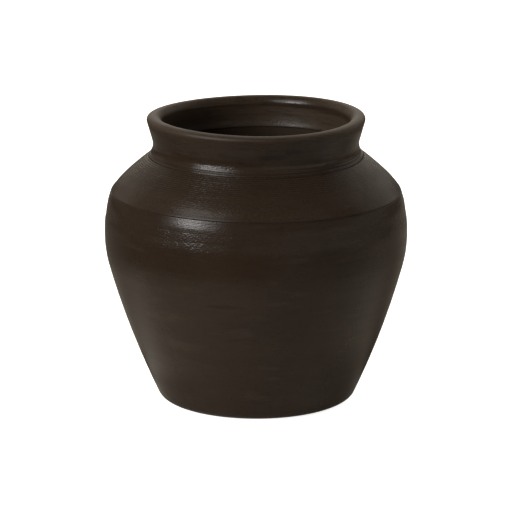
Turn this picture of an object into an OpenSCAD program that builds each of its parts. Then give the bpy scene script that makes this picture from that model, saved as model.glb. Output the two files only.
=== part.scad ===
// Wide-bellied clay vase, built up from thrown sections that are luted together with slip.
// One outline, made of arcs that run smoothly into each other, is cut at the seams into
// the sections and the slip between them, and each piece is turned about the Z axis.
// Lengths are millimetres, angles are degrees, and the vase stands on the plane z = 0.

/* [Vase] */
// Height from the foot to the top of the lip
height = 238; // [228:0.5:265]
// Thickness of the thrown wall
wall = 7.5; // [5:0.5:10]

/* [Foot] */
// Diameter of the flat that the vase stands on
foot_d = 148; // [125:1:185]
// Radius of the rounded edge round the foot
foot_round = 8.5; // [3:0.5:10]
// Thickness of the base slab
floor_t = 11; // [8:0.5:15]
// Size of the bead of clay pressed into the inside corner of the floor
floor_bead = 6; // [3:0.5:12]
// Width of the ring that stands on the ground
foot_ring_w = 14; // [8:1:30]
// Depth of the turned recess inside that ring
recess_h = 1.5; // [0.5:0.5:3]

/* [Belly] */
// Diameter of the belly at its widest
belly_d = 250; // [225:1:290]
// Drop from the corner of the shoulder to the widest place
belly_drop = 36.5; // [25:0.5:55]
// Radius of the side between the foot and the belly
side_r = 680; // [400:10:1200]
// Radius of the belly below its widest place
belly_low_r = 96; // [70:1:125]
// Radius of the belly above its widest place
belly_high_r = 123; // [90:1:200]

/* [Shoulder] */
// Rise of the shoulder, from its corner to the narrowest place of the neck
shoulder_rise = 39.5; // [32:0.5:60]
// Radius of the shoulder's arch
shoulder_r = 177; // [120:1:400]

/* [Neck and lip] */
// Diameter of the neck at its narrowest
neck_d = 169.5; // [145:0.5:180]
// Height of the lip over the narrowest place of the neck
collar_h = 24; // [20:0.5:32]
// Radius of the hollow between the shoulder and the lip
cove_r = 14; // [8:0.5:16]
// Overhang of the lip beyond the narrowest place of the neck
lip_flare = 5; // [2:0.25:10]
// Rise of the lip's rounded top
lip_crown = 2; // [1:0.25:4]
// Radius of the lip's outer edge
lip_round = 3; // [0.75:0.25:4]
// Radius of the lip's inner edge
mouth_round = 4.5; // [0.75:0.25:4.75]

/* [Seams] */
// Thickness of the slip between two sections
slip_t = 1; // [0.8:0.1:2.5]
// Depth of the keying groove round each joint face
key_h = 1.5; // [0.8:0.1:2.5]
// Width of the keying groove
key_w = 4; // [2:0.1:4.5]
// Depth of the fine groove that each seam leaves on the outside
seam_h = 0.5; // [0.3:0.1:1.5]
// Distance of the neck seam from where the neck's hollow starts
neck_seam = 1.4; // [1:0.1:4]
// Radius of the incised line above the neck seam
line_r = 0.5; // [0.4:0.1:1.2]
// Distance of the incised line from the neck seam
line_gap = 3; // [2.5:0.1:6]

/* [Hidden] */
$fn = 180;
clay = [0.23, 0.18, 0.145];
slip = [0.15, 0.115, 0.09];
// Largest distance between an arc and the straight steps along it
arc_fit = 0.02;
// Longer than any straight cut through the outline
reach = 2 * (height + belly_d);

// Place on a circle at an angle
function on_circle(c, r, a) = c + r * [cos(a), sin(a)];
// Angle of the way from one point to another
function heading(from, to) = atan2(to[1] - from[1], to[0] - from[0]);
// Radius at which the right side of a circle has a height
function radius_at(c, r, z) = c[0] + sqrt(r ^ 2 - (z - c[1]) ^ 2);
// Height of the top side of a circle at a radius
function height_at(c, r, x) = c[1] + sqrt(r ^ 2 - (x - c[0]) ^ 2);
// Crossing of two circles, to the left of the way from the first centre to the second
function crossing(a, r_a, b, r_b) =
    let (
        d = norm(b - a),
        u = (b - a) / d,
        along = (d ^ 2 + r_a ^ 2 - r_b ^ 2) / (2 * d),
        off = sqrt(r_a ^ 2 - along ^ 2)
    )
    a + along * u + off * [-u[1], u[0]];
// Points along an arc, up to the last step before its end
function arc(c, r, a1, a2) =
    let (steps = ceil(abs(a2 - a1) / (2 * acos(1 - arc_fit / r))))
    [for (i = [0 : steps - 1]) on_circle(c, r, a1 + (a2 - a1) * i / steps)];
// Angle that a length takes up along the hollow of the neck
function cove_turn(length) = length / cove_r * 180 / PI;
// A list of points the other way round
function reversed(points) = [for (i = [len(points) - 1 : -1 : 0]) points[i]];

// Heights of the neck, the corner of the shoulder and the belly, down from the lip
neck_h = height - collar_h;
shoulder_h = neck_h - shoulder_rise;
belly_h = shoulder_h - belly_drop;

// Arcs from the foot to the belly, each running smoothly into the next
foot_c = [foot_d / 2, foot_round];
belly_low_c = [belly_d / 2 - belly_low_r, belly_h];
belly_high_c = [belly_d / 2 - belly_high_r, belly_h];
side_c = crossing(foot_c, side_r - foot_round, belly_low_c, side_r - belly_low_r);
side_foot_a = heading(side_c, foot_c);
side_belly_a = heading(side_c, belly_low_c);

// Arch of the shoulder, from its corner to where it runs into the hollow of the neck
cove_c = [neck_d / 2 + cove_r, neck_h];
corner = [radius_at(belly_high_c, belly_high_r, shoulder_h), shoulder_h];
shoulder_c = crossing(corner, shoulder_r, cove_c, shoulder_r + cove_r);
cove_a = heading(shoulder_c, cove_c);
corner_a = (heading(belly_high_c, corner) + heading(shoulder_c, corner)) / 2;

// Lip: a shallow dome over the width of the rim, with rounded edges
mouth_r = neck_d / 2 - wall;
lip_r = neck_d / 2 + lip_flare;
rim_half = (lip_r - mouth_r) / 2;
dome_r = (rim_half ^ 2 + lip_crown ^ 2) / (2 * lip_crown);
dome_c = [mouth_r + rim_half, height - dome_r];
lip_x = lip_r - lip_round;
mouth_x = mouth_r + mouth_round;
lip_c = [lip_x, height_at(dome_c, dome_r - lip_round, lip_x)];
mouth_c = [mouth_x, height_at(dome_c, dome_r - mouth_round, mouth_x)];
lip_a = heading(dome_c, lip_c);
mouth_a = heading(dome_c, mouth_c);
// Slope of the straight flare that touches both the hollow of the neck and the lip's edge
flare_a = heading(lip_c, cove_c) + acos((cove_r + lip_round) / norm(cove_c - lip_c));

// Joints: the place of each on the outside, the angle of its face, and the depth of its key.
// The slip lies evenly to both sides of the shoulder's corner.
floor_r = radius_at(side_c, side_r - wall, floor_t);
foot_edge = [radius_at(side_c, side_r, floor_t), floor_t];
neck_joint_a = cove_a - cove_turn(neck_seam);
base_joint = [foot_edge, 0, (foot_edge[0] - floor_r) / 2];
shoulder_joint = [on_circle(corner, slip_t / 2, corner_a - 90), corner_a, wall / 2];
neck_joint = [on_circle(cove_c, cove_r, 180 + neck_joint_a), neck_joint_a, wall / 2];
line_c = on_circle(cove_c, cove_r, 180 + neck_joint_a - cove_turn(line_gap));

// Line through the wall at some depth behind its outside, from an angle on the arc of the
// lower side up to an angle on the hollow of the neck
function wall_path(depth, side_a, neck_a) =
    let (edge = crossing(belly_high_c, belly_high_r - depth, shoulder_c, shoulder_r - depth))
    concat(
        arc(side_c, side_r - depth, side_a, side_belly_a),
        arc(belly_low_c, belly_low_r - depth, side_belly_a, 0),
        arc(belly_high_c, belly_high_r - depth, 0, heading(belly_high_c, edge)),
        arc(shoulder_c, shoulder_r - depth, heading(shoulder_c, edge), cove_a),
        arc(cove_c, cove_r + depth, 180 + cove_a, 180 + neck_a)
    );

// Half of the vase cut through its axis, with the outside of the wall set in by some depth
module section(inset = 0) {
    floor_a = heading(side_c, [floor_r, floor_t]);
    polygon(concat(
        [[0, 0]],
        arc(foot_c, foot_round, -90, side_foot_a),
        wall_path(inset, side_foot_a, flare_a),
        [on_circle(cove_c, cove_r + inset, 180 + flare_a)],
        arc(lip_c, lip_round, flare_a, lip_a),
        arc(dome_c, dome_r, lip_a, 90),
        arc(dome_c, dome_r, 90, mouth_a),
        arc(mouth_c, mouth_round, mouth_a, 180),
        [[mouth_r, mouth_c[1]], [mouth_r, neck_h]],
        reversed(wall_path(wall, floor_a, 0)),
        [[0, floor_t]]
    ));
}

// Everything above the keyed face of a joint, with that face raised by some height
module above(joint, raise = 0) {
    key_x = -joint[2];
    translate(joint[0])
        rotate(joint[1])
            translate([0, raise])
                polygon([
                    [-reach, 0],
                    [key_x - key_w / 2, 0],
                    [key_x, -key_h],
                    [key_x + key_w / 2, 0],
                    [reach, 0],
                    [reach, reach],
                    [-reach, reach]
                ]);
}

// The slip in a joint, which stops a little short of the outside
module slip_section(joint, inset) {
    difference() {
        intersection() {
            section(inset);
            above(joint);
        }
        above(joint, slip_t);
    }
}

// The thrown wall between the slip of one joint and the face of the next
module wall_section(lower, upper) {
    difference() {
        intersection() {
            section();
            above(lower, slip_t);
        }
        above(upper);
    }
}

module base_disc() {
    color(clay)
        rotate_extrude()
            difference() {
                section();
                above(base_joint);
                square([foot_d / 2 - foot_ring_w, recess_h]);
            }
}

// The slip under the wall, with the bead pressed into the corner inside
module base_slip() {
    color(slip)
        rotate_extrude() {
            slip_section(base_joint, 0);
            difference() {
                polygon([
                    [floor_r - floor_bead, floor_t],
                    [floor_r + slip_t, floor_t],
                    [floor_r + floor_bead, floor_t + 2 * floor_bead]
                ]);
                wall_section(base_joint, shoulder_joint);
            }
        }
}

module body_wall() {
    color(clay) rotate_extrude() wall_section(base_joint, shoulder_joint);
}

module shoulder_slip() {
    color(slip) rotate_extrude() slip_section(shoulder_joint, seam_h);
}

module shoulder() {
    color(clay) rotate_extrude() wall_section(shoulder_joint, neck_joint);
}

module neck_slip() {
    color(slip) rotate_extrude() slip_section(neck_joint, seam_h);
}

module neck() {
    color(clay)
        rotate_extrude()
            difference() {
                intersection() {
                    section();
                    above(neck_joint, slip_t);
                }
                translate(line_c) circle(line_r);
            }
}

base_disc();
base_slip();
body_wall();
shoulder_slip();
shoulder();
neck_slip();
neck();
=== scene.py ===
"""Wide-bellied clay vase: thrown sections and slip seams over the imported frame, in a white studio."""

from math import acos, asin, atan2, ceil, cos, pi, radians, sin, tau

import bmesh
import bpy
from bpy.props import FloatProperty, FloatVectorProperty, PointerProperty
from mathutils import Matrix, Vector, noise
from mathutils.geometry import intersect_sphere_sphere_2d


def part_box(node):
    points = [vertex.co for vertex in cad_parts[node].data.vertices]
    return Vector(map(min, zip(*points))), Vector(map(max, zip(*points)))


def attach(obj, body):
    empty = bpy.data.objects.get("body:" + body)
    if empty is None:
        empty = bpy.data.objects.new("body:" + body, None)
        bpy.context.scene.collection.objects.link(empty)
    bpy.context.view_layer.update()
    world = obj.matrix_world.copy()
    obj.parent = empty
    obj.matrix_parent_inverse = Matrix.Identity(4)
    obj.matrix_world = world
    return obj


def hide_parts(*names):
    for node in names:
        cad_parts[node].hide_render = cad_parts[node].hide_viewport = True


bl_info = {
    "name": "Clay vase",
    "version": (1, 0, 0),
    "blender": (4, 5, 0),
    "location": "View3D > Sidebar > Vase",
    "description": "Wide-bellied clay vase of thrown sections joined with slip",
    "category": "Object",
}

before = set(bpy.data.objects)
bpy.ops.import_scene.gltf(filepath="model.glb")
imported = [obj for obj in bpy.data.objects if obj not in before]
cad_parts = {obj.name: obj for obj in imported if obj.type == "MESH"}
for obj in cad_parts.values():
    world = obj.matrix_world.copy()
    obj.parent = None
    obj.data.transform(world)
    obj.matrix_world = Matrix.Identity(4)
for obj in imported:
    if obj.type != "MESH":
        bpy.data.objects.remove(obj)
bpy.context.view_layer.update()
_, body_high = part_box("body_wall")
_, neck_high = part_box("neck")
_, disc_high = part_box("base_disc")

QUARTER = radians(90)
MICRON = 1e-6

# Longest steps along a section, from the fine edges of a seam to the flat of the floor
STEP_SEAM = 0.00015
STEP_EDGE = 0.0002
STEP_LIP = 0.0003
STEP_COVE = 0.0006
STEP_BEAD = 0.0008
STEP_NECK = 0.001
STEP_SKIN = 0.0012
STEP_JOINT = 0.002
STEP_INSIDE = 0.003
STEP_FLAT = 0.004
# Steps round the vase, the angle past which an edge is sharp, and how near two points are one
COLUMNS = 256
CREASE = radians(40)
MERGE = 1e-6

# Recess under the foot: its side's distance from the foot ring, and the rounding of its edges
RECESS_INSET = 0.0006
RECESS_ROUND = 0.0004
# Slip under the wall, and the height of the bead inside as a share of its size
SLIP_UNDER = 0.0015
BEAD_RISE = 1.4
# Gap between body and shoulder on the inside
JOINT_GAP = 0.001
# Ledge inside the neck: drop below the narrow place, lean, rounded edge, how far that turns under, undercut
LEDGE_DROP = 0.0017
LEDGE_LEAN = radians(15)
LEDGE_ROUND = 0.0008
LEDGE_TUCK = radians(50)
LEDGE_UNDERCUT = 0.0006
# Rounding inside the neck above its seam, and how far it turns
NECK_ROUND = 0.0045
NECK_TURN = radians(75)
# Slip in a seam: how much wider it is than the seam, and how far it stops short of the inside
SLIP_OVERLAP = 1.15
SLIP_SHORT = 0.0004

# Rings that stand out where the throwing rib changed angle: height, rise, reach below and reach above
RINGS = (
    (0.1835, 0.00050, 0.0090, 0.0090),
    (0.1668, 0.00030, 0.0085, 0.0072),
    (0.1510, 0.00024, 0.0080, 0.0045),
)
# How blunt the top of a ring is, as a share of its reach
RING_BLUNT = 0.2
# Spacing of the broad and the fine throwing rings
BROAD_PITCH = 0.0105
FINE_PITCH = 0.0047
# Heights over which the warp, the lip's tilt and the throwing rings come in, and the lean goes out
WARP_SPAN = (0.02, 0.15)
TILT_SPAN = (0.19, 0.232)
RING_SPAN = (0.011, 0.03)
LEAN_SPAN = (0.02, 0.13)

# Zones of the finish by height: where each begins, is full, starts to fade and has gone
UNDER_CORNER = (0.142, 0.150, 0.162, 0.169)
RIB_MARKS = (0.158, 0.164, 0.174, 0.178)
CORNER_HIGHLIGHT = (0.1740, 0.1760, 0.1770, 0.1860)
ARCH = (0.176, 0.182, 0.203, 0.208)
SHOULDER = (0.178, 0.196, 0.205, 0.213)
GROOVE_SHADE = (0.184, 0.194, 0.204, 0.208)
COVE = (0.2000, 0.2040, 0.2150, 0.2190)
# Borders by height
BELT_START = (0.110, 0.142)
BELT_END = (0.1735, 0.1750)
HOLLOW_START = (0.172, 0.176)
HOLLOW_END = (0.2110, 0.2145)
DEEP_LINES = (0.190, 0.200)
NECK_START = (0.206, 0.216)
INSIDE_END = (0.226, 0.230)
HANDLED_SHEEN_START = (0.226, 0.231)
LIP_START = (0.2300, 0.2350)
LIP_WEAR_AND_SHEEN = (0.2305, 0.2350)
# Borders by radius, and by radius and height together for the slope of the hollow
INSIDE_WALL = (0.0785, 0.0825)
LIP_EDGE = (0.0800, 0.0830)
HOLLOW_SLOPE = (0.2865, 0.2920)
# Borders from left to right, and by the square of that for both sides alike
INSIDE_PAINTED_SHADE = (-0.065, -0.01)
COVE_LEFT = (-0.048, -0.022)
INSIDE_PAINTED_LIGHT = (-0.02, 0.05)
HANDLED_SHEEN_SIDES = (0.0004, 0.0064)
ARCH_SIDES = (0.0030, 0.0085)
# Smoky marks, a painted shade in the cove at the right, and a streak: place of the middle, half length and half
# height
SMUDGES = (
    (0.0125, -0.0850, 0.2195, 0.0150, 0.0032),
    (0.0310, -0.0810, 0.2232, 0.0100, 0.0030),
)
PAINTED_COVE_SHADE = (0.0650, -0.0580, 0.2085, 0.0160, 0.0034)
STREAK = (-0.024, -0.1146, 0.105, 0.017, 0.0022)
MARK_DEPTH = 0.02
# Spacing of the turned lines on the shoulder, the rib's lines under it, and the pits
LINE_PITCH = 0.0027
RIB_PITCH = 0.0017
PIT_SPACING = 0.0034
# Refraction of fired clay, and the specular levels of burnished clay and of slip
CLAY_IOR = 1.5
CLAY_SPECULAR = 0.2
SLIP_SPECULAR = 0.12

# Colour of the light in the room, and of the paper floor where it is bare and where it carries painted shade
WHITE = (1.0, 1.0, 1.0)
ROOM_LIGHT = (1.0, 0.915, 0.79)
PAPER = (0.72, 0.656, 0.567)
PAPER_SHADE = (0.068, 0.059, 0.049)
FLOOR_HALF = 6.0
FLOOR_DROP = 0.0002
# Soft borders of a lit screen in degrees, at its sides and at its top and bottom
SCREEN_SIDE = 8
SCREEN_EDGE = 6
# Height that the lamps face, the camera's sensor in millimetres, and how far the camera sees
LAMP_AIM = 0.13
SENSOR = 36.0
SIGHT = 50.0


class VaseShape(bpy.types.PropertyGroup):
    """Sizes of the thrown sections and the seams between them."""

    height: FloatProperty(
        name="Height", description="From the foot to the top of the lip", default=neck_high[2], unit="LENGTH")
    wall: FloatProperty(
        name="Wall", description="Thickness of the thrown wall", default=0.0075, unit="LENGTH")
    foot_radius: FloatProperty(
        name="Foot radius", description="Radius of the flat under the vase", default=0.0746, unit="LENGTH")
    foot_round: FloatProperty(
        name="Foot round", description="Radius of the rounded edge of the foot", default=0.0085, unit="LENGTH")
    floor: FloatProperty(
        name="Floor", description="Thickness of the base slab", default=disc_high[2], unit="LENGTH")
    foot_ring: FloatProperty(
        name="Foot ring", description="Width of the ring the vase stands on", default=0.014, unit="LENGTH")
    recess: FloatProperty(
        name="Recess", description="Depth of the turned recess under the foot", default=0.0015, unit="LENGTH")
    bead: FloatProperty(
        name="Bead", description="Clay pressed into the inside corner of the floor", default=0.006, unit="LENGTH")
    belly_radius: FloatProperty(
        name="Belly radius", description="Radius of the belly at its widest", default=body_high[0], unit="LENGTH")
    belly_drop: FloatProperty(
        name="Belly drop", description="From the shoulder's corner down to the widest place", default=0.0365,
        unit="LENGTH")
    side_arc: FloatProperty(
        name="Side arc", description="Radius of the side between foot and belly", default=0.68, unit="LENGTH")
    belly_low_arc: FloatProperty(
        name="Lower belly arc", description="Radius of the belly below its widest place", default=0.096,
        unit="LENGTH")
    belly_high_arc: FloatProperty(
        name="Upper belly arc", description="Radius of the belly above its widest place", default=0.123,
        unit="LENGTH")
    shoulder_rise: FloatProperty(
        name="Shoulder rise", description="From the shoulder's corner up to the narrow of the neck",
        default=0.0395, unit="LENGTH")
    shoulder_arc: FloatProperty(
        name="Shoulder arc", description="Radius of the shoulder's arch", default=0.177, unit="LENGTH")
    neck_radius: FloatProperty(
        name="Neck radius", description="Radius of the neck at its narrowest", default=0.08475, unit="LENGTH")
    collar: FloatProperty(
        name="Collar", description="Height of the lip over the narrow of the neck", default=0.0240, unit="LENGTH")
    cove: FloatProperty(
        name="Cove", description="Radius of the hollow between shoulder and lip", default=0.014, unit="LENGTH")
    lip_radius: FloatProperty(
        name="Lip radius", description="Radius of the lip's outer edge", default=neck_high[0], unit="LENGTH")
    lip_crown: FloatProperty(
        name="Lip crown", description="Rise of the lip's rounded top", default=0.002, unit="LENGTH")
    lip_round: FloatProperty(
        name="Lip round", description="Rounding of the lip's outer edge", default=0.003, unit="LENGTH")
    mouth_round: FloatProperty(
        name="Mouth round", description="Rounding of the lip's inner edge", default=0.0065, unit="LENGTH")
    ledge: FloatProperty(
        name="Ledge", description="How far the ledge inside the neck stands in", default=0.0011, unit="LENGTH")
    seam_half: FloatProperty(
        name="Half seam", description="Half the width of a seam between two sections", default=0.00025,
        unit="LENGTH")
    seam_round: FloatProperty(
        name="Seam round", description="Rounding of the clay edges along a seam", default=0.0004, unit="LENGTH")
    seam_depth: FloatProperty(
        name="Seam depth", description="How far the slip stays behind the outside", default=0.0003,
        unit="LENGTH")
    neck_seam: FloatProperty(
        name="Neck seam", description="From the start of the cove to the middle of the neck seam",
        default=0.0019, unit="LENGTH")
    line_gap: FloatProperty(
        name="Line gap", description="From the neck seam up to the incised line", default=0.0030, unit="LENGTH")
    line_round: FloatProperty(
        name="Line round", description="Radius of the incised line", default=0.0004, unit="LENGTH")
    warp: FloatProperty(
        name="Warp", description="Rise and fall of the hand-made seams round the vase", default=0.0007,
        unit="LENGTH")
    lean: FloatProperty(
        name="Lean", description="How far the foot sits to one side of the belly", default=0.00045, unit="LENGTH")
    ring_depth: FloatProperty(
        name="Throwing rings", description="Depth of the shallow rings left by throwing", default=0.00008,
        unit="LENGTH")


class ClayFinish(bpy.types.PropertyGroup):
    """Colours and gloss of the burnished clay."""

    brown: FloatVectorProperty(
        name="Brown", description="Main colour of the clay", default=(0.0244, 0.0154, 0.0098), subtype="COLOR",
        size=3, min=0.0, max=1.0)
    smoke: FloatVectorProperty(
        name="Smoke", description="Darker clay where the fire smoked it", default=(0.0197, 0.0123, 0.0078),
        subtype="COLOR", size=3, min=0.0, max=1.0)
    # Ash is also the colour of painted sheen and painted light on the clay
    ash_and_painted_light: FloatVectorProperty(
        name="Ash", description="Greyer bloom in streaks and on worn edges", default=(0.042, 0.029, 0.019),
        subtype="COLOR", size=3, min=0.0, max=1.0)
    # Slip is also the colour of painted shade on the clay
    slip: FloatVectorProperty(
        name="Slip", description="Colour of the slip in the seams", default=(0.0075, 0.0047, 0.0031),
        subtype="COLOR", size=3, min=0.0, max=1.0)
    roughness: FloatProperty(
        name="Roughness", description="Roughness of the burnished surface", default=0.20, min=0.0, max=1.0,
        subtype="FACTOR")


class StudioSet(bpy.types.PropertyGroup):
    """Camera and lamps of the studio."""

    distance: FloatProperty(
        name="Camera distance", description="From the camera to the middle of the vase", default=2.542,
        unit="LENGTH")
    tilt: FloatProperty(
        name="Camera tilt", description="Angle of the camera above the level", default=radians(14.31),
        subtype="ANGLE")
    aim: FloatProperty(
        name="Aim height", description="Height the camera looks at", default=0.1174, unit="LENGTH")
    lens: FloatProperty(
        name="Lens", description="Focal length in millimetres", default=215.7, min=1.0, unit="CAMERA")
    key: FloatProperty(
        name="Key lamp", description="Brightness of the large soft lamp at the front left", default=0.9, min=0.0)
    core: FloatProperty(
        name="Key core", description="Brightness of the middle of that lamp", default=3.9, min=0.0)
    hot: FloatProperty(
        name="Key bulb", description="Brightness of the hot place in its middle", default=14.0, min=0.0)
    top: FloatProperty(
        name="Key top", description="Brightness of the lamp's upper part", default=2.0, min=0.0)
    fill_lamp: FloatProperty(
        name="Fill lamp", description="Brightness of the soft lamp at the front right", default=0.3, min=0.0)
    behind: FloatProperty(
        name="Back lamps", description="Brightness of the two soft lamps behind the vase", default=2.2, min=0.0)
    fill: FloatProperty(
        name="Fill", description="Brightness of the lit wall to the right", default=0.95, min=0.0)
    backdrop: FloatProperty(
        name="Backdrop", description="Brightness of the lit backdrop", default=1.0, min=0.0)
    air: FloatProperty(
        name="Air", description="Brightness of the room's soft light", default=0.12, min=0.0, max=1.0,
        subtype="FACTOR")


def crossing(a, r_a, b, r_b):
    """The crossing of two circles that lies left of the way from the first centre to the second."""
    return max(intersect_sphere_sphere_2d(a, r_a, b, r_b), key=lambda p: (b - a).cross(p - a))


def heading(start, end):
    """Angle of the way from one point of the section to another."""
    return atan2(end.y - start.y, end.x - start.x)


def on_circle(centre, radius, angle):
    """Place on a circle of the section at an angle."""
    return centre + radius * Vector((cos(angle), sin(angle)))


class Arcs:
    """Centres and angles of the arcs that make the outside of the vase, from foot to lip."""

    def __init__(self, s):
        neck_z = s.height - s.collar
        corner_z = neck_z - s.shoulder_rise
        belly_z = corner_z - s.belly_drop
        self.foot = Vector((s.foot_radius, s.foot_round))
        self.low = Vector((s.belly_radius - s.belly_low_arc, belly_z))
        self.high = Vector((s.belly_radius - s.belly_high_arc, belly_z))
        self.side = crossing(self.foot, s.side_arc - s.foot_round, self.low, s.side_arc - s.belly_low_arc)
        self.side_foot = heading(self.side, self.foot)
        self.side_belly = heading(self.side, self.low)
        self.cove = Vector((s.neck_radius + s.cove, neck_z))
        self.high_corner = asin((corner_z - belly_z) / s.belly_high_arc)
        self.corner = on_circle(self.high, s.belly_high_arc, self.high_corner)
        self.arch = crossing(self.corner, s.shoulder_arc, self.cove, s.shoulder_arc + s.cove)
        self.arch_cove = heading(self.arch, self.cove)
        self.arch_corner = heading(self.arch, self.corner)
        self.inner_corner = crossing(self.high, s.belly_high_arc - s.wall, self.arch, s.shoulder_arc - s.wall)
        self.seam_face = (self.arch_corner + self.high_corner) / 2
        self.seam_edge = s.seam_half + s.seam_round
        self.neck_face = self.arch_cove - s.neck_seam / s.cove
        self.line = self.neck_face - s.line_gap / s.cove
        self.mouth_radius = s.neck_radius - s.wall
        half = (s.lip_radius - self.mouth_radius) / 2
        self.dome_radius = (half ** 2 + s.lip_crown ** 2) / (2 * s.lip_crown)
        self.dome = Vector((self.mouth_radius + half, s.height - self.dome_radius))
        self.lip = self.under_dome(s.lip_radius - s.lip_round, s.lip_round)
        self.mouth = self.under_dome(self.mouth_radius + s.mouth_round, s.mouth_round)
        reach = self.cove - self.lip
        self.flare = heading(self.lip, self.cove) + acos((s.cove + s.lip_round) / reach.length)

    def under_dome(self, x, radius):
        """Centre of a rounding that touches the lip's dome from below."""
        lean = (x - self.dome.x) / (self.dome_radius - radius)
        return on_circle(self.dome, self.dome_radius - radius, acos(lean))

    def side_at(self, radius, z):
        """Angle at which the arc of the lower side has a height."""
        return asin((z - self.side.y) / radius)


class Outline:
    """A section in the XZ plane, drawn with arcs and straight steps, then turned about Z."""

    def __init__(self, start):
        self.bm = bmesh.new()
        self.first = self.tip = self.bm.verts.new((start.x, 0.0, start.y))

    @property
    def at(self):
        """Where the tip is in the section."""
        return self.tip.co.xz

    def line(self, end, step=STEP_FLAT):
        """Draws a straight line to a point."""
        start, goal = self.tip.co.copy(), Vector((end.x, 0.0, end.y))
        count = max(1, ceil((goal - start).length / step))
        for i in range(count):
            self.tip = bmesh.ops.extrude_vert_indiv(self.bm, verts=[self.tip])["verts"][0]
            self.tip.co = start.lerp(goal, (i + 1) / count)

    def arc(self, centre, start, end, step=STEP_SKIN):
        """Swings the tip about a centre, from one angle to another."""
        radius = (self.at - centre).length
        count = max(3, ceil(abs(end - start) * radius / step))
        swung = bmesh.ops.spin(
            self.bm, geom=[self.tip], cent=(centre.x, 0.0, centre.y), axis=(0.0, -1.0, 0.0), angle=end - start,
            steps=count, use_merge=False)
        self.tip = next(e for e in swung["geom_last"] if isinstance(e, bmesh.types.BMVert))

    def close(self):
        """Joins the tip to the start."""
        self.bm.edges.new((self.tip, self.first))

    def turned(self, name, s):
        """Turns the section into a closed mesh and gives it the unevenness of hand work."""
        bm = self.bm
        bmesh.ops.remove_doubles(bm, verts=bm.verts, dist=MERGE)
        bmesh.ops.spin(
            bm, geom=bm.verts[:] + bm.edges[:], cent=(0.0, 0.0, 0.0), axis=(0.0, 0.0, 1.0), angle=tau,
            steps=COLUMNS, use_merge=True)
        bmesh.ops.remove_doubles(bm, verts=bm.verts, dist=MERGE)
        bmesh.ops.recalc_face_normals(bm, faces=bm.faces)
        for edge in bm.edges:
            edge.smooth = edge.calc_face_angle(pi) < CREASE
        for face in bm.faces:
            face.smooth = True
        for vert in bm.verts:
            vert.co = by_hand(vert.co, s)
        mesh = bpy.data.meshes.new(name)
        bm.to_mesh(mesh)
        bm.free()
        return mesh


def ease(low, high, value):
    """Smooth step from 0 to 1."""
    t = min(1.0, max(0.0, (value - low) / (high - low)))
    return t * t * (3 - 2 * t)


def ring(z):
    """How far the rings stand out at a height."""
    total = 0.0
    for centre, rise, below, above in RINGS:
        off = (z - centre) / (above if z > centre else below)
        total += rise * max(0.0, 1 + RING_BLUNT - (off ** 2 + RING_BLUNT ** 2) ** 0.5)
    return total


def by_hand(co, s):
    """Where a point of the true outline lies on the hand-made vase, never outside the true one's box."""
    radius, angle = co.xy.length, atan2(co.y, co.x)
    if radius < MERGE:
        return co
    # The seams rise and fall twice round the vase, the lip is a little out of level, and the foot sits aside
    lift = s.warp * ease(*WARP_SPAN, co.z) * sin(2 * angle)
    lift += s.warp * ease(*TILT_SPAN, co.z) * (0.65 * cos(2 * angle) + 0.25 * cos(angle) - 1.42)
    lean = s.lean * (1 - ease(*LEAN_SPAN, co.z))
    # Throwing rings run round in a slow spiral and are deeper in some places than in others
    along = co.z - radius
    slow = noise.noise(Vector((co.x * 9, co.y * 9, along * 25)))
    broad = cos(tau * along / BROAD_PITCH + angle)
    fine = cos(tau * along / FINE_PITCH + angle + 4 * slow)
    waves = 0.6 * broad + 0.4 * fine
    depth = s.ring_depth * ease(*RING_SPAN, co.z) * (1 + 0.8 * slow) * (1 - waves) / 2
    grown = 1 + (ring(co.z) * (1 + 0.5 * slow) - depth) / radius
    return Vector((co.x * grown + lean, co.y * grown, co.z + lift))


class Wire:
    """An output of a shader tree, whose arithmetic adds Math nodes."""

    def __init__(self, finish, socket):
        self.finish = finish
        self.socket = socket

    def math(self, operation, first, second):
        """Adds one Math node."""
        return self.finish.node("ShaderNodeMath", {"operation": operation}, {0: first, 1: second})

    def __add__(self, other):
        return self.math("ADD", self, other)

    def __radd__(self, other):
        return self.math("ADD", other, self)

    def __sub__(self, other):
        return self.math("SUBTRACT", self, other)

    def __rsub__(self, other):
        return self.math("SUBTRACT", other, self)

    def __mul__(self, other):
        return self.math("MULTIPLY", self, other)

    def __rmul__(self, other):
        return self.math("MULTIPLY", other, self)

    def __truediv__(self, other):
        return self.math("DIVIDE", self, other)

    def __rtruediv__(self, other):
        return self.math("DIVIDE", other, self)

    def __pow__(self, other):
        return self.math("POWER", self, other)

    def __rpow__(self, other):
        return self.math("POWER", other, self)

    def wave(self, pitch):
        """Swings between -1 and 1, once for each pitch."""
        return self.finish.node("ShaderNodeMath", {"operation": "SINE"}, {0: self * (tau / pitch)})

    def ease(self, low, high):
        """Smooth step from 0 at low to 1 at high."""
        return self.finish.node(
            "ShaderNodeMapRange", {"interpolation_type": "SMOOTHSTEP"},
            {"Value": self, "From Min": low, "From Max": high})

    def fade(self, low, high):
        """Smooth step from 1 at low to 0 at high."""
        return 1.0 - self.ease(low, high)

    def band(self, begin, full, fading, gone):
        """1 over a zone with soft borders, and 0 outside it."""
        return self.ease(begin, full) * self.fade(fading, gone)


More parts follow.
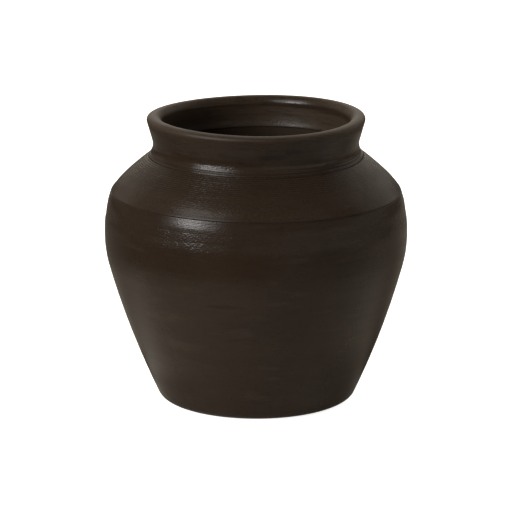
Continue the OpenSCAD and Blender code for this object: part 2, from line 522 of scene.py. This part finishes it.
class Finish:
    """A node tree of a material or of the world, filled node by node."""

    def __init__(self, owner):
        owner.use_nodes = True
        self.owner = owner
        self.tree = owner.node_tree
        self.tree.nodes.clear()

    def node(self, kind, settings=None, sockets=None, out=0):
        """Adds a node with its settings and sockets, and gives one of its outputs."""
        made = self.tree.nodes.new(kind)
        for key, value in (settings or {}).items():
            setattr(made, key, value)
        for key, value in (sockets or {}).items():
            entry = self.pick(made.inputs, key)
            if isinstance(value, Wire):
                self.tree.links.new(value.socket, entry)
            else:
                entry.default_value = value
        return Wire(self, self.pick(made.outputs, out)) if len(made.outputs) else None

    def pick(self, row, key):
        """Finds a socket by its number, identifier or name."""
        return row[key] if isinstance(key, int) else next(i for i in row if key in (i.identifier, i.name))

    def axes(self, place, names="XYZ"):
        """The coordinates of a place, one wire each."""
        return [self.node("ShaderNodeSeparateXYZ", sockets={0: place}, out=name) for name in names]

    def seen(self):
        """1 for what the camera sees, straight or through glass."""
        straight = self.node("ShaderNodeLightPath", out="Is Camera Ray")
        return straight + self.node("ShaderNodeLightPath", out="Is Transmission Ray")

    def mix(self, factor, first, second):
        """Blends two colours."""
        return self.node(
            "ShaderNodeMix", {"data_type": "RGBA"},
            {"Factor_Float": factor, "A_Color": first, "B_Color": second}, "Result_Color")

    def grain(self, place, size, detail=2.0, rough=0.5, distortion=0.0):
        """Soft noise whose features are about one size, in metres."""
        return self.node(
            "ShaderNodeTexNoise", {"noise_dimensions": "3D"},
            {"Vector": place, "Scale": 1.0 / size, "Detail": detail, "Roughness": rough,
             "Distortion": distortion}, "Fac")

    def fired(self, tint, rough, relief, specular):
        """Ends the tree with a fired surface, its relief in metres, and gives the material."""
        bump = self.node("ShaderNodeBump", sockets={"Strength": 1.0, "Distance": 1.0, "Height": relief})
        surface = self.node(
            "ShaderNodeBsdfPrincipled",
            sockets={"Base Color": tint, "Roughness": rough, "Normal": bump, "IOR": CLAY_IOR,
                     "Specular IOR Level": specular})
        self.node("ShaderNodeOutputMaterial", sockets={"Surface": surface})
        return self.owner


def colour(value):
    """A colour with its alpha."""
    return (*value, 1.0)


def clay(look):
    """Burnished brown clay with throwing lines, smoke, ash streaks and fine pits, and painted sheen and shade."""
    if "vase_clay" in bpy.data.materials:
        return bpy.data.materials["vase_clay"]
    finish = Finish(bpy.data.materials.new("vase_clay"))
    brown, smoke, ash_and_painted_light, slip = (colour(c) for c in (look.brown, look.smoke, look.ash_and_painted_light, look.slip))
    place = finish.node("ShaderNodeTexCoord", out="Object")
    x, y, z = finish.axes(place)
    radius = (x * x + y * y) ** 0.5
    along = z - radius

    def round_about(stretch):
        """Coordinates in which a pattern is drawn out round the vase."""
        return finish.node("ShaderNodeCombineXYZ", sockets={0: x / stretch, 1: y / stretch, 2: along})

    # Patterns, from the broad ones to the fine ones
    patches = finish.grain(place, size=0.055, detail=4.0, rough=0.55, distortion=0.4)
    rubbed = finish.grain(place, size=0.016).ease(0.20, 0.65)
    bands = finish.grain(round_about(14.0), size=0.011, detail=3.0, rough=0.55)
    drags = finish.grain(round_about(6.0), size=0.006, detail=3.0, rough=0.6)
    combed = finish.grain(round_about(7.0), size=0.0022, rough=0.6)
    speckle = finish.grain(place, size=0.0017, rough=0.6)
    crackle = finish.grain(round_about(1.15), size=0.0015, detail=1.0, distortion=0.4)
    lines = (along + 0.0035 * patches + 0.0012 * drags).wave(LINE_PITCH)
    rib_lines = (along + 0.001 * drags).wave(RIB_PITCH)
    cells = finish.node(
        "ShaderNodeTexVoronoi", {"feature": "F1"},
        {"Vector": place, "Scale": 1 / PIT_SPACING, "Randomness": 1.0}, "Distance")
    pits = cells.fade(0.10, 0.34) * speckle.ease(0.42, 0.62)
    flecks = speckle.ease(0.35, 0.65)

    # Zones: the hollow is the inside of the shoulder, and the lip is worn rougher at its left and right, where
    # its colour also carries painted sheen
    hollow = z.ease(*HOLLOW_START) * (radius + z).fade(*HOLLOW_SLOPE) * z.fade(*HOLLOW_END)
    inside = radius.fade(*INSIDE_WALL) * z.fade(*INSIDE_END)
    lip = z.ease(*LIP_START) * radius.ease(*LIP_EDGE)
    handled_and_sheen = z.ease(*HANDLED_SHEEN_START) * (x * x).ease(*HANDLED_SHEEN_SIDES)
    neck = 0.25 + 0.75 * z.ease(*NECK_START)
    # The corner band above the shoulder seam carries a painted highlight
    corner = z.band(*CORNER_HIGHLIGHT)
    under_corner = z.band(*UNDER_CORNER)
    shoulder = z.band(*SHOULDER) * (1.0 - hollow) * (0.6 + 0.4 * bands.ease(0.35, 0.65))
    arched = z.band(*ARCH) * (1.0 - hollow)
    in_cove = z.band(*COVE) * (1.0 - hollow) * x.ease(*COVE_LEFT)
    sides = (x * x).ease(*ARCH_SIDES)
    scaly = 0.3 + 0.9 * under_corner + 0.6 * in_cove + (0.45 + 0.9 * sides) * arched
    belt = (z + 0.012 * patches + 0.006 * drags).ease(*BELT_START) * z.fade(*BELT_END)

    def mark(left, front, up, half_length, half_height):
        """A dark mark with a broken edge, which runs round the vase, used for smoke, a streak and a painted
        shade.
        """
        off = (
            ((x - left) / half_length) ** 2.0 + ((y - front) / MARK_DEPTH) ** 2.0
            + ((z - up) / half_height) ** 2.0)
        return (off + 1.6 * drags + 1.2 * crackle).fade(1.3, 2.6)

    # Smoke and bloom of the firing
    smoky = (0.55 * patches + 0.3 * bands + 0.15 * drags + 0.04 * belt).ease(0.38, 0.64)
    tint = finish.mix(smoky, brown, smoke)
    bloom = drags.ease(0.5, 0.75) * patches.ease(0.3, 0.6)
    tint = finish.mix(0.4 * bloom, tint, ash_and_painted_light)

    # Wear and painted sheen on the lip, more at its left and right; painted sheen on the shoulder, brightest on
    # its turned lines, a painted highlight with wear flecks along its corner, and pale crackle on the arch;
    # painted light on the right of the inside
    # Painted sheen on the shoulder and its turned lines, and a painted highlight with wear flecks along the
    # corner
    painted_sheen_and_wear = (
        0.26 * shoulder * (0.5 + 0.5 * lines) + 0.35 * corner * flecks
        + 0.30 * arched * crackle.ease(0.45, 0.75))
    # The lip is lighter from wear and painted sheen, more so at its left and right
    lip_wear_and_sheen = z.ease(*LIP_WEAR_AND_SHEEN) * (0.30 + 0.40 * handled_and_sheen + 0.30 * flecks)
    tint = finish.mix(lip_wear_and_sheen + painted_sheen_and_wear, tint, ash_and_painted_light)
    # Painted light on the right of the inside
    tint = finish.mix(inside * (0.2 + 0.6 * x.ease(*INSIDE_PAINTED_LIGHT)), tint, ash_and_painted_light)

    # Darker colour: painted shade in the hollow, on the left of the inside and in the turned grooves, smoky marks
    # and a streak with a painted shade in the cove at the right, the pits and the comb's lines
    # Painted shade in the hollow and on the left of the inside
    tint = finish.mix(0.4 * hollow + 0.5 * inside * x.fade(*INSIDE_PAINTED_SHADE), tint, slip)
    # Painted shade in the turned grooves of the shoulder
    groove_shade = z.band(*GROOVE_SHADE) * (1.0 - lines).ease(0.45, 0.95)
    tint = finish.mix(0.55 * shoulder * groove_shade, tint, slip)
    first, second = (mark(*smudge) for smudge in SMUDGES)
    smudged = (first + second).ease(0.0, 1.0)
    # The mark in the cove at the right is painted shade
    tint = finish.mix(0.7 * smudged + 0.5 * mark(*STREAK) + 0.5 * mark(*PAINTED_COVE_SHADE), tint, slip)
    tint = finish.mix(0.5 * pits + 0.45 * neck * combed.ease(0.45, 0.75), tint, slip)

    rough = (
        look.roughness - 0.06 + 0.08 * bands + 0.06 * drags + (0.30 - 0.06 * handled_and_sheen) * lip + 0.18 * inside
        + 0.05 * under_corner + 0.26 * handled_and_sheen * (1.0 - lip))
    relief = (
        (30 * MICRON + 60 * MICRON * z.ease(*DEEP_LINES)) * shoulder * lines
        + 50 * MICRON * drags
        + 40 * MICRON * neck * combed
        + 8 * MICRON * z.band(*RIB_MARKS) * rib_lines
        + (30 * MICRON + 260 * MICRON * rubbed * scaly) * crackle
        + (30 * MICRON + 60 * MICRON * lip) * speckle)
    return finish.fired(tint, rough, relief, CLAY_SPECULAR)


def dried_slip(look):
    """Dark, dull slip that fills the seams."""
    if "vase_slip" in bpy.data.materials:
        return bpy.data.materials["vase_slip"]
    finish = Finish(bpy.data.materials.new("vase_slip"))
    place = finish.node("ShaderNodeTexCoord", out="Object")
    (up,) = finish.axes(place, "Z")
    crumbs = finish.grain(place, size=0.0018, detail=3.0, rough=0.6)
    runs = finish.grain(place, size=0.012)
    worn = (0.5 * crumbs + 0.5 * runs).ease(0.35, 0.7) + 0.5 * up.ease(0.19, 0.20)
    tint = finish.mix(worn, colour(look.slip), colour(look.smoke))
    return finish.fired(tint, 0.55 + 0.2 * crumbs, 80 * MICRON * crumbs, SLIP_SPECULAR)


def set_piece(context, name, section, material, slot, *nodes):
    """Turns a section into a finished piece, in place of the solids it stands for."""
    mesh = section.turned(name, context.scene.vase_shape)
    mesh.materials.append(material(context.scene.clay_finish))
    piece = bpy.data.objects.new(name, mesh)
    context.scene.collection.objects.link(piece)
    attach(piece, "root")
    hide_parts(*nodes)


class VASE_OT_foot(bpy.types.Operator):
    """Turns the base slab with its foot ring and rounded edge."""

    bl_idname = "vase.foot"
    bl_label = "Foot"

    def execute(self, context):
        s = context.scene.vase_shape
        a = Arcs(s)
        side = s.foot_radius - s.foot_ring - RECESS_INSET
        section = Outline(Vector((0.0, s.recess)))
        section.line(Vector((side - RECESS_ROUND, s.recess)), STEP_INSIDE)
        section.arc(Vector((side - RECESS_ROUND, s.recess - RECESS_ROUND)), QUARTER, 0.0, STEP_EDGE)
        section.line(Vector((side, RECESS_ROUND)))
        section.arc(Vector((side + RECESS_ROUND, RECESS_ROUND)), pi, 3 * QUARTER, STEP_EDGE)
        section.line(Vector((s.foot_radius, 0.0)), STEP_JOINT)
        section.arc(a.foot, -QUARTER, a.side_foot, STEP_COVE)
        section.arc(a.side, a.side_foot, a.side_at(s.side_arc, s.floor))
        section.line(Vector((0.0, s.floor)), STEP_INSIDE)
        set_piece(context, "vase_foot", section, clay, "clay", "base_disc")
        return {"FINISHED"}


class VASE_OT_bead(bpy.types.Operator):
    """Turns the slip under the wall, with the bead that fills the corner inside."""

    bl_idname = "vase.bead"
    bl_label = "Floor bead"

    def execute(self, context):
        s = context.scene.vase_shape
        a = Arcs(s)
        inner = s.side_arc - s.wall
        seam = s.floor + SLIP_UNDER
        high = s.floor + BEAD_RISE * s.bead
        start = a.side_at(s.side_arc, s.floor)
        inner_seam, inner_high = a.side_at(inner, seam), a.side_at(inner, high)
        section = Outline(on_circle(a.side, s.side_arc, start))
        section.arc(a.side, start, a.side_at(s.side_arc, seam), STEP_BEAD)
        section.line(on_circle(a.side, inner, inner_seam))
        section.arc(a.side, inner_seam, inner_high)
        rounding = (high - s.floor) / (1 + sin(inner_high))
        centre = on_circle(a.side, inner - rounding, inner_high)
        section.arc(centre, inner_high, -QUARTER, STEP_BEAD)
        section.line(Vector((centre.x, s.floor)))
        section.close()
        set_piece(context, "floor_bead", section, clay, "slip", "base_slip")
        return {"FINISHED"}


class VASE_OT_body(bpy.types.Operator):
    """Turns the wide body wall, from the floor to the shoulder seam."""

    bl_idname = "vase.body"
    bl_label = "Body"

    def execute(self, context):
        s = context.scene.vase_shape
        a = Arcs(s)
        low = s.floor + SLIP_UNDER
        start = a.side_at(s.side_arc, low)
        end = a.high_corner - a.seam_edge / s.belly_high_arc
        inner_start = a.side_at(s.side_arc - s.wall, low)
        inner_end = heading(a.high, a.inner_corner) - JOINT_GAP / s.belly_high_arc
        section = Outline(on_circle(a.side, s.side_arc, start))
        section.arc(a.side, start, a.side_belly)
        section.arc(a.low, a.side_belly, 0.0)
        section.arc(a.high, 0.0, end)
        rounding = on_circle(a.high, s.belly_high_arc - s.seam_round, end)
        section.arc(rounding, end, a.seam_face + QUARTER, STEP_SEAM)
        section.line(on_circle(a.high, s.belly_high_arc - s.wall, inner_end), STEP_JOINT)
        section.arc(a.high, inner_end, 0.0, STEP_INSIDE)
        section.arc(a.low, 0.0, a.side_belly, STEP_INSIDE)
        section.arc(a.side, a.side_belly, inner_start, STEP_INSIDE)
        section.close()
        set_piece(context, "vase_body", section, clay, "clay", "body_wall")
        return {"FINISHED"}


class VASE_OT_shoulder(bpy.types.Operator):
    """Turns the sloping shoulder between its two seams."""

    bl_idname = "vase.shoulder"
    bl_label = "Shoulder"

    def execute(self, context):
        s = context.scene.vase_shape
        a = Arcs(s)
        start = a.arch_corner + a.seam_edge / s.shoulder_arc
        end = a.neck_face + a.seam_edge / s.cove
        inner_start = heading(a.arch, a.inner_corner) + JOINT_GAP / s.shoulder_arc
        low_round = on_circle(a.arch, s.shoulder_arc - s.seam_round, start)
        high_round = on_circle(a.cove, s.cove + s.seam_round, pi + end)
        face = a.seam_face - QUARTER
        section = Outline(on_circle(low_round, s.seam_round, face))
        section.arc(low_round, face, start, STEP_SEAM)
        section.arc(a.arch, start, a.arch_cove)
        section.arc(a.cove, pi + a.arch_cove, pi + end, STEP_COVE)
        section.arc(high_round, end, a.neck_face + QUARTER, STEP_SEAM)
        section.line(on_circle(a.cove, s.cove + s.wall, pi + end), STEP_JOINT)
        section.arc(a.cove, pi + end, pi + a.arch_cove, STEP_JOINT)
        section.arc(a.arch, a.arch_cove, inner_start, STEP_INSIDE)
        section.close()
        set_piece(context, "vase_shoulder", section, clay, "clay", "shoulder")
        return {"FINISHED"}


class VASE_OT_neck(bpy.types.Operator):
    """Turns the neck, its incised line and the rounded lip."""

    bl_idname = "vase.neck"
    bl_label = "Neck and lip"

    def execute(self, context):
        s = context.scene.vase_shape
        a = Arcs(s)
        start = a.neck_face - a.seam_edge / s.cove
        low_round = on_circle(a.cove, s.cove + s.seam_round, pi + start)
        groove = on_circle(a.cove, s.cove, pi + a.line)
        half = s.line_round / s.cove
        face = a.neck_face - QUARTER
        lip_edge, mouth_edge = heading(a.dome, a.lip), heading(a.dome, a.mouth)
        section = Outline(on_circle(low_round, s.seam_round, face))
        section.arc(low_round, face, start, STEP_SEAM)
        section.arc(a.cove, pi + start, pi + a.line + half, STEP_COVE)
        section.arc(groove, a.line - QUARTER, a.line - 3 * QUARTER, STEP_SEAM)
        section.arc(a.cove, pi + a.line - half, pi + a.flare, STEP_COVE)
        section.line(on_circle(a.lip, s.lip_round, a.flare), STEP_BEAD)
        section.arc(a.lip, a.flare, lip_edge, STEP_LIP)
        section.arc(a.dome, lip_edge, mouth_edge, STEP_COVE)
        section.arc(a.mouth, mouth_edge, pi, STEP_LIP)

        # The ledge leans in from the inside of the neck, and its edge is rounded and undercut
        bend = s.ledge / (1 - cos(LEDGE_LEAN))
        bend_z = a.cove.y - LEDGE_DROP + bend * sin(LEDGE_LEAN)
        section.line(Vector((a.mouth_radius, bend_z)), STEP_SKIN)
        section.arc(Vector((a.mouth_radius - bend, bend_z)), 0.0, -LEDGE_LEAN, STEP_BEAD)
        ledge_round = on_circle(section.at, LEDGE_ROUND, -LEDGE_LEAN)
        section.arc(ledge_round, pi - LEDGE_LEAN, pi + LEDGE_TUCK, STEP_EDGE)
        under = section.at.x + LEDGE_UNDERCUT
        joint = on_circle(a.cove, s.cove + s.wall, pi + start)
        section.line(Vector((under, joint.y + NECK_ROUND)), STEP_NECK)
        section.arc(Vector((under + NECK_ROUND, joint.y + NECK_ROUND)), pi, pi + NECK_TURN, STEP_BEAD)
        section.line(joint, STEP_NECK)
        section.close()
        set_piece(context, "vase_neck", section, clay, "clay", "neck")
        return {"FINISHED"}


class VASE_OT_seams(bpy.types.Operator):
    """Fills the shoulder seam and the neck seam with rings of slip."""

    bl_idname = "vase.seams"
    bl_label = "Slip seams"

    def execute(self, context):
        s = context.scene.vase_shape
        a = Arcs(s)
        half = s.seam_half * SLIP_OVERLAP
        neck_place = on_circle(a.cove, s.cove, pi + a.neck_face)
        # The neck seam is filled nearly flush, and the shoulder seam stays a groove
        rings = (
            ("shoulder_seam", a.corner, a.seam_face, s.seam_depth, "shoulder_slip"),
            ("neck_seam", neck_place, a.neck_face, s.seam_depth / 4, "neck_slip"),
        )
        for name, place, face, depth, node in rings:
            front = on_circle(place, depth + half, pi + face)
            back = on_circle(place, s.wall - SLIP_SHORT, pi + face)
            section = Outline(on_circle(front, half, face - QUARTER))
            section.arc(front, face - QUARTER, face + QUARTER, STEP_EDGE)
            section.line(on_circle(back, half, face + QUARTER), STEP_JOINT)
            section.line(on_circle(back, half, face - QUARTER))
            section.close()
            set_piece(context, name, section, dried_slip, "slip", node)
        return {"FINISHED"}


def light_room(scene, studio):
    """Lights the room: white to the camera, with lit screens behind and a lit wall at the right for the clay."""
    scene.world = bpy.data.worlds.new("studio_room")
    room = Finish(scene.world)
    seen = room.seen()
    mirrored = room.node("ShaderNodeLightPath", out="Is Glossy Ray")
    x, y, z = room.axes(room.node("ShaderNodeTexCoord", out="Generated"))
    # A trifle is added so that nothing is divided by zero straight up
    level = (x * x + y * y + 0.0001) ** 0.5

    def screen(side, half, low, high):
        """A soft-edged lit screen round one side of the vase, between two heights, all in degrees."""
        turn = (-sin(radians(side)) * x - cos(radians(side)) * y) / level
        across = turn.ease(cos(radians(half + SCREEN_SIDE)), cos(radians(half - SCREEN_SIDE)))
        borders = (low - SCREEN_EDGE, low + SCREEN_EDGE, high - SCREEN_EDGE, high + SCREEN_EDGE)
        return across * z.band(*(sin(radians(border)) for border in borders))

    lit = studio.air + studio.backdrop * (0.8 + 0.2 * mirrored) * screen(side=180, half=13, low=1, high=54)
    lit = lit + 0.42 * studio.backdrop * screen(side=-134, half=24, low=8, high=46)
    lit = lit + 0.25 * studio.backdrop * screen(side=140, half=18, low=8, high=42)
    # The lit wall stands at the right, a little to the front
    lit = lit + studio.fill * (0.77 * x - 0.64 * y).ease(0.3, 1.0) * z.fade(0.08, 0.32)
    tint = room.mix(seen, colour(ROOM_LIGHT), colour(WHITE))
    light = room.node("ShaderNodeBackground", sockets={"Color": tint, "Strength": seen + (1.0 - seen) * lit})
    room.node("ShaderNodeOutputWorld", sockets={"Surface": light})


def studio_paper():
    """Paper that looks white, and carries painted shade by place for the light that the glossy clay gets from it.
    """
    paper = Finish(bpy.data.materials.new("studio_paper"))
    seen = paper.seen()
    spot = paper.node("ShaderNodeTexCoord", out="Object")
    far = paper.node("ShaderNodeVectorMath", {"operation": "LENGTH"}, {0: spot}, "Value")
    across, back = (axis / far for axis in paper.axes(spot, "XY"))
    right = across.ease(-0.05, 0.55)
    behind = back.ease(-0.1, 0.5)
    ahead = 1.0 - behind

    # Painted shade to the far front and behind the vase, and a painted contact shadow close beside its foot
    far_front = ahead * far.ease(0.18, 0.52) * (1.0 - 0.75 * right)
    back_left = 1.0 - 0.25 * far.ease(0.12, 0.17) * (1.0 - 0.5 * far.ease(0.28, 0.45))
    back_right = 1.0 - 0.26 * far.ease(0.12, 0.26)
    to_back = behind * (back_left + right * (back_right - back_left)) * far.ease(0.080, 0.100)
    painted_shadow_left = 0.55 * (0.0 - across).ease(0.4, 0.95) * far.fade(0.100, 0.124)
    painted_shadow_right = 0.42 * across.ease(0.5, 0.95) * far.fade(0.115, 0.175)
    painted_shade = far_front + to_back + (painted_shadow_left + painted_shadow_right) * ahead

    # To the camera the paper is white, and a shade less where the vase stands
    sheet = paper.mix((1.0 - seen) * painted_shade, colour(PAPER), colour(PAPER_SHADE))
    matt = paper.node("ShaderNodeBsdfDiffuse", sockets={"Color": sheet})
    glow = paper.node(
        "ShaderNodeEmission",
        sockets={"Color": colour(WHITE), "Strength": seen * (0.88 + 0.12 * far.ease(0.3, 1.2))})
    both = paper.node("ShaderNodeAddShader", sockets={0: matt, 1: glow})
    paper.node("ShaderNodeOutputMaterial", sockets={"Surface": both})
    return paper.owner


def lay_floor(scene):
    """Lays the sheet of paper that the vase stands on."""
    bm = bmesh.new()
    bmesh.ops.create_grid(bm, x_segments=8, y_segments=8, size=FLOOR_HALF)
    mesh = bpy.data.meshes.new("studio_floor")
    bm.to_mesh(mesh)
    bm.free()
    mesh.materials.append(studio_paper())
    ground = bpy.data.objects.new("studio_floor", mesh)
    scene.collection.objects.link(ground)
    ground.location.z = -FLOOR_DROP


def hang_lamps(scene, studio):
    """Hangs the softboxes: four that make the key light, one fill, and two for the sides behind."""
    # Side from the camera, positive to its left, height, reach, size, brightness, and if the clay mirrors it
    lamps = {
        "key_lamp": (50, 33, 1.5, (1.05, 1.35), studio.key, True),
        "key_core": (49, 33, 1.45, (0.93, 0.86), studio.core, True),
        "key_bulb": (51, 23.5, 1.4, (0.44, 0.41), studio.hot, True),
        "key_top": (55, 52.5, 1.45, (0.60, 0.22), studio.top, True),
        "fill_lamp": (-45, 42, 1.5, (1.0, 0.5), studio.fill_lamp, True),
        "back_left": (152, 28, 1.5, (1.2, 0.9), 1.3 * studio.behind, False),
        "back_right": (-118, 22, 1.5, (1.2, 0.9), 1.5 * studio.behind, False),
    }
    for name, (side, height, reach, size, brightness, mirrored) in lamps.items():
        data = bpy.data.lights.new(name, "AREA")
        data.shape = "RECTANGLE"
        data.size, data.size_y = size
        data.energy = pi * size[0] * size[1] * brightness
        lamp = bpy.data.objects.new(name, data)
        scene.collection.objects.link(lamp)
        side, height = radians(side), radians(height)
        towards = Vector((-sin(side) * cos(height), -cos(side) * cos(height), sin(height)))
        lamp.location = Vector((0.0, 0.0, LAMP_AIM)) + reach * towards
        lamp.rotation_euler = towards.to_track_quat("Z", "Y").to_euler()
        lamp.visible_glossy = mirrored


def set_camera(scene, studio):
    """Sets the camera in front of the vase, looking down at it a little."""
    data = bpy.data.cameras.new("studio_camera")
    data.lens = studio.lens
    data.sensor_width = SENSOR
    data.clip_end = SIGHT
    camera = bpy.data.objects.new("studio_camera", data)
    scene.collection.objects.link(camera)
    camera.location = (
        0.0, -studio.distance * cos(studio.tilt), studio.aim + studio.distance * sin(studio.tilt))
    camera.rotation_euler = (QUARTER - studio.tilt, 0.0, 0.0)
    scene.camera = camera


class VASE_OT_studio(bpy.types.Operator):
    """Sets the white floor, the room's light, the lamps and the camera."""

    bl_idname = "vase.studio"
    bl_label = "Studio"

    def execute(self, context):
        scene = context.scene
        studio = scene.studio_set
        scene.view_settings.view_transform = "Standard"
        light_room(scene, studio)
        lay_floor(scene)
        hang_lamps(scene, studio)
        set_camera(scene, studio)
        return {"FINISHED"}


class VASE_PT_panel(bpy.types.Panel):
    """Lists the pieces of the vase and the sizes and colours behind them."""

    bl_idname = "VASE_PT_panel"
    bl_label = "Clay vase"
    bl_space_type = "VIEW_3D"
    bl_region_type = "UI"
    bl_category = "Vase"

    def draw(self, context):
        for operator in MAKING:
            self.layout.operator(operator.bl_idname)
        for group in (context.scene.vase_shape, context.scene.clay_finish, context.scene.studio_set):
            column = self.layout.column(align=True)
            for key in group.__annotations__:
                column.prop(group, key)


MAKING = (
    VASE_OT_foot, VASE_OT_bead, VASE_OT_body, VASE_OT_shoulder, VASE_OT_neck, VASE_OT_seams, VASE_OT_studio)
CLASSES = (VaseShape, ClayFinish, StudioSet, *MAKING, VASE_PT_panel)


def register():
    for cls in CLASSES:
        bpy.utils.register_class(cls)
    bpy.types.Scene.vase_shape = PointerProperty(type=VaseShape)
    bpy.types.Scene.clay_finish = PointerProperty(type=ClayFinish)
    bpy.types.Scene.studio_set = PointerProperty(type=StudioSet)


def unregister():
    del bpy.types.Scene.studio_set
    del bpy.types.Scene.clay_finish
    del bpy.types.Scene.vase_shape
    for cls in reversed(CLASSES):
        bpy.utils.unregister_class(cls)


def main():
    register()
    bpy.ops.vase.foot()
    bpy.ops.vase.bead()
    bpy.ops.vase.body()
    bpy.ops.vase.shoulder()
    bpy.ops.vase.neck()
    bpy.ops.vase.seams()
    bpy.ops.vase.studio()


if __name__ == "__main__":
    main()
